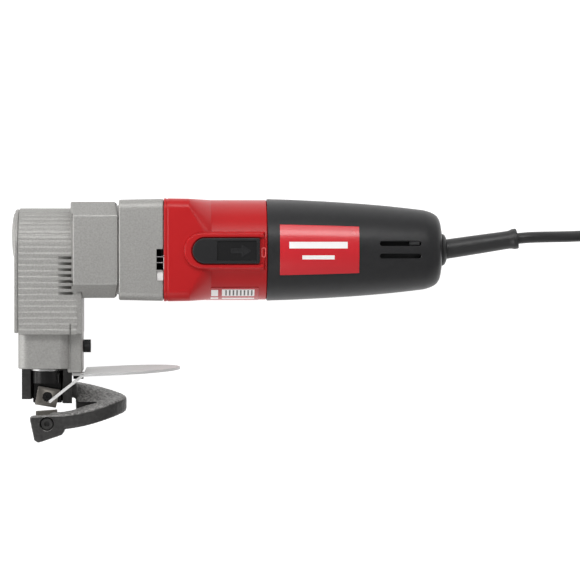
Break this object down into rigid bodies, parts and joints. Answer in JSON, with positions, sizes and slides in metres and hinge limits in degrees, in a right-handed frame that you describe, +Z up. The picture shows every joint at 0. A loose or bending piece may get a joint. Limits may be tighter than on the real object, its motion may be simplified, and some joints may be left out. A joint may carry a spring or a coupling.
{
  "type": "electric sheet metal shear",
  "caption": "Corded sheet-metal shear with an inline motor, a gear head, a reciprocating upper blade over a C-shaped yoke with a fixed lower blade, and a coiled lead with a two-pin plug.",
  "frame": {"origin": "on the flat side of the gear cover that the tool rests on, under the barrel's axis", "axes": "+X along the barrel from the head to the lead, +Y from the blades to the back of the tool, +Z up from the bench, out of the side with the switch"},
  "size_m": [0.5038, 0.1591, 0.0707],
  "materials": {
    "cast_alloy": "fine blasted casting, light grey",
    "red_plastic": "glossy red glass-filled nylon",
    "black_plastic": "satin black, lightly textured",
    "rubber": "matt black",
    "black_screw": "black oxide",
    "black_cast": "rough black investment casting",
    "blackened_steel": "black oxide, ground",
    "blade_steel": "ground tool steel",
    "bright_steel": "bright zinc plate",
    "machined_steel": "machined",
    "bronze": "sintered bronze",
    "copper": "varnished copper",
    "laminated_steel": "stacked laminations",
    "carbon": "pressed carbon",
    "brass": "stamped brass"
  },
  "bodies": {
    "casing": {"front_cap": "cast_alloy", "front_cover": "cast_alloy", "cover_screw_1": "black_screw", "cover_screw_2": "black_screw", "cover_screw_3": "black_screw", "cover_screw_4": "black_screw", "head_housing": "cast_alloy", "gear_collar": "cast_alloy", "gear_cover": "cast_alloy", "motor_housing": "red_plastic", "rear_cover": "black_plastic", "nameplate": "red_plastic", "rating_label": "red_plastic", "switch_body": "black_plastic", "strain_relief": "rubber", "case_screw_1": "black_screw", "case_screw_2": "black_screw", "case_screw_3": "black_screw", "case_screw_4": "black_screw", "clamp_screw": "black_screw", "guide_bush": "bright_steel", "yoke": "black_cast", "lower_blade": "blade_steel", "lower_blade_screw": "black_screw", "deflector": "bright_steel", "deflector_screw": "black_screw", "crank_front_bearing": "machined_steel", "crank_rear_bearing": "machined_steel", "intermediate_bush_front": "bronze", "intermediate_bush_rear": "bronze", "motor_front_bearing": "machined_steel", "motor_rear_bearing": "machined_steel", "stator_core": "laminated_steel", "field_coil_top": "copper", "field_coil_bottom": "copper", "brush_holder_top": "brass", "brush_holder_bottom": "brass", "carbon_brush_top": "carbon", "carbon_brush_bottom": "carbon", "cord_lead": "rubber", "cord_coil": "rubber", "cord_tail": "rubber", "cord_tie": "rubber", "plug_body": "black_plastic", "plug_insert": "brass"},
    "switch_slide": {"switch_knob": "black_plastic", "switch_link": "machined_steel"},
    "crank": {"crankshaft": "machined_steel", "crank_gear": "machined_steel"},
    "slide_block": {"slide_block": "bronze"},
    "plunger": {"plunger": "blackened_steel", "upper_blade": "blade_steel", "upper_blade_screw": "black_screw"},
    "intermediate_shaft": {"intermediate_shaft": "machined_steel", "intermediate_gear": "machined_steel"},
    "armature": {"armature_shaft": "machined_steel", "armature_core": "laminated_steel", "armature_winding": "copper", "commutator": "copper", "fan": "black_plastic"}
  },
  "joints": [
    {"name": "crank_turn", "type": "hinge", "parent": "casing", "child": "crank", "pos_m": [-0.0629, 0.00895, 0.0336], "axis": [1, 0, 0], "range_deg": [0, 180]},
    {"name": "slide_block_turn", "type": "hinge", "parent": "crank", "child": "slide_block", "pos_m": [-0.0629, 0.01125, 0.0336], "axis": [1, 0, 0], "range_deg": [-180, 0]},
    {"name": "intermediate_spin", "type": "hinge", "parent": "casing", "child": "intermediate_shaft", "pos_m": [-0.02, -0.01505, 0.0336], "axis": [1, 0, 0], "range_deg": [-540, 0]},
    {"name": "armature_spin", "type": "hinge", "parent": "casing", "child": "armature", "pos_m": [0.06, 0, 0.0336], "axis": [1, 0, 0], "range_deg": [0, 2040]},
    {"name": "plunger_stroke", "type": "slide", "parent": "casing", "child": "plunger", "axis": [0, -1, 0], "range_m": [0, 0.0046]},
    {"name": "switch_travel", "type": "slide", "parent": "casing", "child": "switch_slide", "axis": [1, 0, 0], "range_m": [0, 0.0055]}
  ],
  "couplings": [
    {"joint": "slide_block_turn", "follows": "crank_turn", "ratio": -1},
    {"joint": "intermediate_spin", "follows": "crank_turn", "ratio": -3},
    {"joint": "armature_spin", "follows": "crank_turn", "ratio": 11.333},
    {"joint": "plunger_stroke", "follows": "crank_turn", "m_per_rad": 0.0014642}
  ]
}
